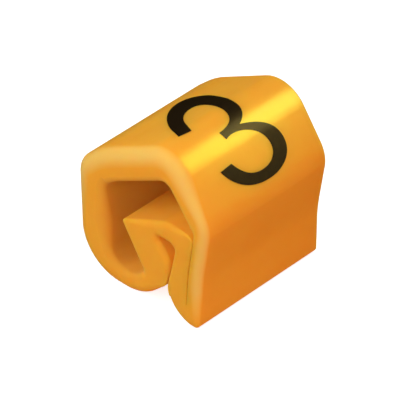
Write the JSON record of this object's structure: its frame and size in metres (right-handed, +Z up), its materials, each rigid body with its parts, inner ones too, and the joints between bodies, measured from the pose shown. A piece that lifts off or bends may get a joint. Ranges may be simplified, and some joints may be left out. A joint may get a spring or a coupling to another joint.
{
  "type": "cable marker",
  "caption": "Slip-on wire marker: a short soft plastic sleeve with a sloped roof for a printed figure and an inward fold that opens out to grip the wire.",
  "frame": {"origin": "on the floor that the sleeve rests on, under the middle of its width and of its length", "axes": "+X across the sleeve towards the steep slope, +Y along the wire from the front cut end to the rear cut end, +Z up towards the ridge"},
  "size_m": [0.003, 0.003, 0.0033],
  "materials": {
    "soft_pvc": "satin, slightly translucent soft plastic"
  },
  "bodies": {
    "root": {"marker_sleeve": "soft_pvc"}
  },
  "joints": []
}
